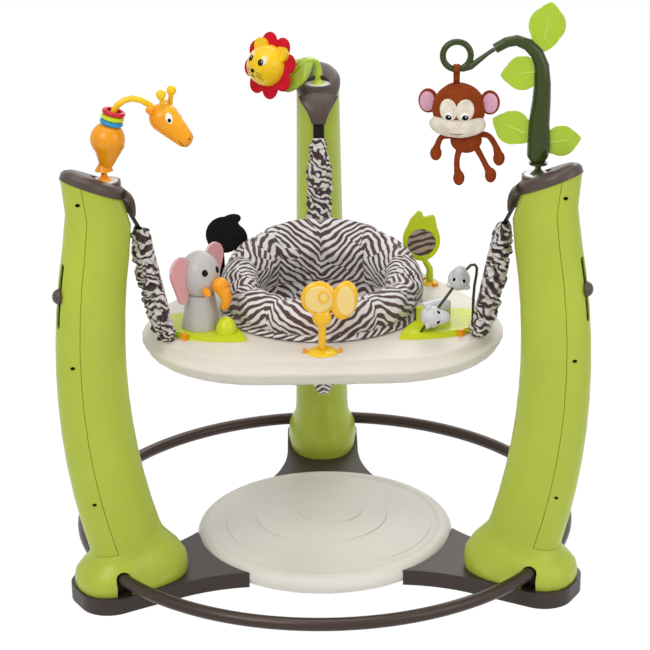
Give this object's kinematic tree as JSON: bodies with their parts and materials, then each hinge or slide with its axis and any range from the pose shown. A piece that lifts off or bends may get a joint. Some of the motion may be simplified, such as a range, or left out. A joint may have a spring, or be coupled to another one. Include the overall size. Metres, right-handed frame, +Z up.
{
  "type": "baby jumper frame",
  "caption": "Free-standing baby jumper: bowed green towers on a dark ground ring carry a cream toy tray and a padded zebra seat on springs.",
  "frame": {"origin": "on the floor under the middle of the jumping pad", "axes": "+Z up, -Y toward the viewer of the picture, +X to the viewer's right"},
  "size_m": [0.882, 0.9436, 1.0202],
  "materials": {
    "cream_plastic": "satin moulded",
    "brown_plastic": "fine grain",
    "green_plastic": "satin moulded",
    "brown_tube": "metallic powder coat",
    "steel": "bright",
    "webbing": "woven",
    "zebra_cloth": "printed cotton",
    "orange_plastic": "gloss",
    "yellow_plastic": "gloss",
    "lime_plastic": "gloss",
    "dark_green": "satin",
    "grey_plastic": "satin",
    "pink_plastic": "satin",
    "blue_plastic": "gloss",
    "red_plastic": "gloss",
    "red_cloth": "brushed",
    "black_cloth": "felt",
    "brown_plush": "short pile",
    "mirror": "bright"
  },
  "bodies": {
    "frame": {"base_pad": "cream_plastic", "base_legs": "brown_plastic", "base_ring": "brown_tube", "tower_inner_left": "green_plastic", "tower_inner_right": "green_plastic", "tower_inner_back": "green_plastic", "tower_covers": "green_plastic", "frame_screws": "steel", "tower_cap_left": "brown_plastic", "tower_cap_right": "brown_plastic", "tower_cap_back": "brown_plastic", "strap_bars": "steel", "toy_stems": "orange_plastic"},
    "knob_left": {"height_knob_left": "brown_plastic"},
    "knob_right": {"height_knob_right": "brown_plastic"},
    "knob_back": {"height_knob_back": "brown_plastic"},
    "hangers": {"spring_hangers": "brown_plastic", "strap_webbing": "webbing"},
    "tray": {"springs": "steel", "spring_covers": "zebra_cloth", "tray_top": "cream_plastic", "tray_base": "cream_plastic", "tray_anchors": "brown_plastic", "tray_screws": "steel", "elephant_base": "lime_plastic", "bead_base": "lime_plastic", "release_clips": "orange_plastic", "bead_wire": "dark_green", "toy_feet": "yellow_plastic"},
    "seat": {"seat_ring": "grey_plastic", "seat_pad": "zebra_cloth", "seat_sling": "zebra_cloth", "sling_floor": "zebra_cloth"},
    "elephant": {"elephant_body": "grey_plastic", "elephant_ears": "pink_plastic", "elephant_trunk": "orange_plastic"},
    "egg": {"egg_button": "lime_plastic"},
    "low_bead": {"bead_low": "grey_plastic"},
    "high_bead": {"bead_high": "grey_plastic"},
    "drum": {"bead_drum": "grey_plastic"},
    "teether_toy": {"teether": "yellow_plastic"},
    "mirror_toy": {"mirror_leaf": "lime_plastic", "mirror_glass": "mirror"},
    "leaf_toy": {"dark_leaf": "black_cloth"},
    "giraffe": {"giraffe_bulb": "orange_plastic", "giraffe_neck": "yellow_plastic", "giraffe_head": "orange_plastic"},
    "ring_low": {"giraffe_ring_low": "blue_plastic"},
    "ring_middle": {"giraffe_ring_middle": "lime_plastic"},
    "ring_high": {"giraffe_ring_high": "red_plastic"},
    "lion": {"lion_stalk": "lime_plastic", "lion_mane": "red_cloth", "lion_face": "yellow_plastic"},
    "vine": {"vine_stalk": "dark_green", "vine_link": "dark_green", "vine_leaves": "lime_plastic"},
    "monkey": {"monkey_head": "brown_plush", "monkey_body": "brown_plush", "monkey_limbs": "brown_plush", "monkey_tie": "brown_plush"}
  },
  "joints": [
    {"name": "seat_height", "type": "slide", "parent": "frame", "child": "hangers", "axis": [0, 0, 1], "range_m": [-0.037, 0.022], "deforming": ["strap_webbing"]},
    {"name": "tray_bounce", "type": "slide", "parent": "hangers", "child": "tray", "axis": [0, 0, 1], "range_m": [-0.08, 0.02], "stiffness_N_per_m": 1200, "springref_m": 0.03409, "deforming": ["springs", "spring_covers"]},
    {"name": "seat_spin", "type": "hinge", "parent": "tray", "child": "seat", "pos_m": [0, 0, 0.445], "axis": [0, 0, 1], "continuous": true},
    {"name": "knob_left_slide", "type": "slide", "parent": "frame", "child": "knob_left", "axis": [0.1038, 0.0599, 0.9928], "range_m": [-0.022, 0.037]},
    {"name": "knob_right_slide", "type": "slide", "parent": "frame", "child": "knob_right", "axis": [-0.1038, 0.0599, 0.9928], "range_m": [-0.022, 0.037]},
    {"name": "knob_back_slide", "type": "slide", "parent": "frame", "child": "knob_back", "axis": [0, -0.1198, 0.9928], "range_m": [-0.022, 0.037]},
    {"name": "elephant_turn", "type": "hinge", "parent": "tray", "child": "elephant", "pos_m": [-0.20482, -0.10642, 0.454], "axis": [0, 0, 1], "range_deg": [-20, 20]},
    {"name": "egg_press", "type": "slide", "parent": "tray", "child": "egg", "axis": [0, 0, -1], "range_m": [0, 0.004], "stiffness_N_per_m": 600, "springref_m": -0.001},
    {"name": "bead_low_slide", "type": "slide", "parent": "tray", "child": "low_bead", "axis": [0.599, 0.4448, 0.6659], "range_m": [0, 0.015]},
    {"name": "bead_high_slide", "type": "slide", "parent": "tray", "child": "high_bead", "axis": [0.599, 0.4448, 0.6659], "range_m": [-0.015, 0.003]},
    {"name": "drum_spin", "type": "hinge", "parent": "tray", "child": "drum", "pos_m": [0.18831, -0.08754, 0.472], "axis": [0.8028, 0.5962, 0], "continuous": true},
    {"name": "teether_turn", "type": "hinge", "parent": "tray", "child": "teether_toy", "pos_m": [-0.00188, -0.21599, 0.445], "axis": [0, 0, 1], "range_deg": [-20, 20]},
    {"name": "mirror_turn", "type": "hinge", "parent": "tray", "child": "mirror_toy", "pos_m": [0.193, 0.11369, 0.445], "axis": [0, 0, 1], "range_deg": [-15, 15]},
    {"name": "dark_leaf_turn", "type": "hinge", "parent": "tray", "child": "leaf_toy", "pos_m": [-0.1773, 0.1336, 0.445], "axis": [0, 0, 1], "range_deg": [-15, 15]},
    {"name": "giraffe_turn", "type": "hinge", "parent": "frame", "child": "giraffe", "pos_m": [-0.34774, -0.20077, 0.74067], "axis": [0, 0, 1], "range_deg": [-60, 60]},
    {"name": "ring_low_spin", "type": "hinge", "parent": "giraffe", "child": "ring_low", "pos_m": [-0.33974, -0.20077, 0.80867], "axis": [0.2588, 0, 0.9659], "continuous": true},
    {"name": "ring_middle_spin", "type": "hinge", "parent": "giraffe", "child": "ring_middle", "pos_m": [-0.33974, -0.20077, 0.80867], "axis": [0.2588, 0, 0.9659], "continuous": true},
    {"name": "ring_high_spin", "type": "hinge", "parent": "giraffe", "child": "ring_high", "pos_m": [-0.33974, -0.20077, 0.80867], "axis": [0.2588, 0, 0.9659], "continuous": true},
    {"name": "lion_turn", "type": "hinge", "parent": "frame", "child": "lion", "pos_m": [0, 0.40153, 0.74067], "axis": [0, 0, 1], "range_deg": [-30, 30]},
    {"name": "vine_turn", "type": "hinge", "parent": "frame", "child": "vine", "pos_m": [0.34774, -0.20077, 0.74067], "axis": [0, 0, 1], "range_deg": [-40, 40]},
    {"name": "monkey_swing", "type": "hinge", "parent": "vine", "child": "monkey", "pos_m": [0.21574, -0.20077, 0.91467], "axis": [1, 0, 0], "range_deg": [-45, 45]}
  ],
  "couplings": [
    {"joint": "knob_left_slide", "follows": "seat_height", "ratio": -1},
    {"joint": "knob_right_slide", "follows": "seat_height", "ratio": -1},
    {"joint": "knob_back_slide", "follows": "seat_height", "ratio": -1}
  ]
}
